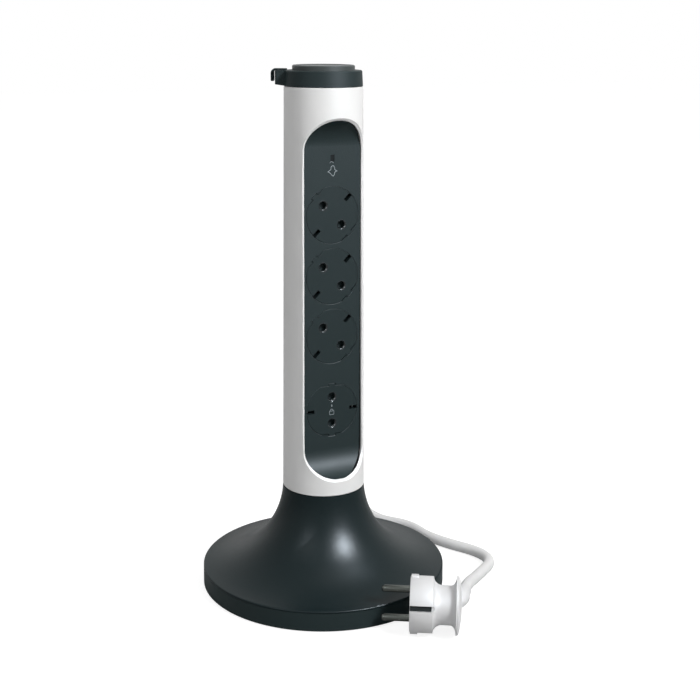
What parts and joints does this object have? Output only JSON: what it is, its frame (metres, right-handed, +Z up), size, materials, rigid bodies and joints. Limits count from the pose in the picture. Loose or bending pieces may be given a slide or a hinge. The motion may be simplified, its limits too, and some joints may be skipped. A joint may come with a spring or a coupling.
{
  "type": "extension lead",
  "caption": "Upright socket tower: white column on a dark trumpet base, dark panel of protective-contact sockets, top ring with cable hook, white cord with angled plug.",
  "frame": {"origin": "centre of the base on the surface it stands on", "axes": "+Z up, the sockets face -Y, the pushed faces sink along +Y"},
  "size_m": [0.2276, 0.4046, 0.3636],
  "materials": {
    "white_plastic": "fine satin",
    "anthracite_plastic": "fine grain matt",
    "face_plastic": "fine grain matt",
    "disc_plastic": "smooth satin",
    "window_plastic": "clear tinted",
    "cord_plastic": "soft satin",
    "plug_plastic": "soft satin",
    "gland_rubber": "matt",
    "foot_rubber": "matt",
    "nickel": "bright nickel",
    "contact_brass": "bright",
    "zinc_steel": "zinc plated",
    "black_steel": "black",
    "spring_steel": "bright",
    "inner_plastic": "matt",
    "board_green": "lacquered",
    "varistor_blue": "epoxy",
    "lamp_clear": "clear",
    "wire_brown": "smooth",
    "wire_blue": "smooth",
    "wire_green": "smooth"
  },
  "bodies": {
    "tower": {"base_screws": "zinc_steel", "base_shell": "anthracite_plastic", "base_tray": "anthracite_plastic", "base_weight": "black_steel", "board_screws": "zinc_steel", "cable_hook": "anthracite_plastic", "cap_screws": "zinc_steel", "clamp_screws": "zinc_steel", "column_shell": "white_plastic", "contact_cover": "inner_plastic", "cord_clamp": "inner_plastic", "cord_gland": "gland_rubber", "cord_hank": "cord_plastic", "cord_lead": "cord_plastic", "cord_run": "cord_plastic", "cord_tail": "cord_plastic", "earth_brackets": "nickel", "earth_busbar": "contact_brass", "earth_wire": "wire_green", "foot_screws": "zinc_steel", "hank_tie": "foot_rubber", "indicator_lamp": "lamp_clear", "indicator_window": "window_plastic", "live_busbar": "contact_brass", "live_wire": "wire_brown", "neutral_busbar": "contact_brass", "neutral_wire": "wire_blue", "plug_body": "plug_plastic", "plug_earth_contacts": "nickel", "plug_pins": "nickel", "plug_sleeve": "plug_plastic", "return_spring_1": "spring_steel", "return_spring_2": "spring_steel", "return_spring_3": "spring_steel", "return_spring_4": "spring_steel", "rubber_feet": "foot_rubber", "socket_panel": "anthracite_plastic", "socket_well_1": "anthracite_plastic", "socket_well_2": "anthracite_plastic", "socket_well_3": "anthracite_plastic", "socket_well_4": "anthracite_plastic", "strip_screws": "zinc_steel", "surge_board": "board_green", "thermal_fuse": "nickel", "top_disc": "disc_plastic", "top_ring": "anthracite_plastic", "varistors": "varistor_blue"},
    "face_1": {"socket_face_1": "face_plastic"},
    "shutter_1": {"shutter_1": "anthracite_plastic"},
    "face_2": {"socket_face_2": "face_plastic"},
    "shutter_2": {"shutter_2": "anthracite_plastic"},
    "face_3": {"socket_face_3": "face_plastic"},
    "shutter_3": {"shutter_3": "anthracite_plastic"},
    "face_4": {"socket_face_4": "face_plastic"},
    "shutter_4": {"shutter_4": "anthracite_plastic"}
  },
  "joints": [
    {"name": "face_1_push", "type": "slide", "parent": "tower", "child": "face_1", "axis": [0, 1, 0], "range_m": [0, 0.015], "stiffness_N_per_m": 250, "springref_m": -0.004, "deforming": ["return_spring_1"]},
    {"name": "shutter_1_slide", "type": "slide", "parent": "face_1", "child": "shutter_1", "axis": [0.7071, 0, 0.7071], "range_m": [0, 0.006], "stiffness_N_per_m": 60, "springref_m": -0.003},
    {"name": "face_2_push", "type": "slide", "parent": "tower", "child": "face_2", "axis": [0, 1, 0], "range_m": [0, 0.015], "stiffness_N_per_m": 250, "springref_m": -0.004, "deforming": ["return_spring_2"]},
    {"name": "shutter_2_slide", "type": "slide", "parent": "face_2", "child": "shutter_2", "axis": [0.7071, 0, 0.7071], "range_m": [0, 0.006], "stiffness_N_per_m": 60, "springref_m": -0.003},
    {"name": "face_3_push", "type": "slide", "parent": "tower", "child": "face_3", "axis": [0, 1, 0], "range_m": [0, 0.015], "stiffness_N_per_m": 250, "springref_m": -0.004, "deforming": ["return_spring_3"]},
    {"name": "shutter_3_slide", "type": "slide", "parent": "face_3", "child": "shutter_3", "axis": [0.7071, 0, 0.7071], "range_m": [0, 0.006], "stiffness_N_per_m": 60, "springref_m": -0.003},
    {"name": "face_4_push", "type": "slide", "parent": "tower", "child": "face_4", "axis": [0, 1, 0], "range_m": [0, 0.015], "stiffness_N_per_m": 250, "springref_m": -0.004, "deforming": ["return_spring_4"]},
    {"name": "shutter_4_slide", "type": "slide", "parent": "face_4", "child": "shutter_4", "axis": [1, 0, 0], "range_m": [0, 0.006], "stiffness_N_per_m": 60, "springref_m": -0.003}
  ]
}
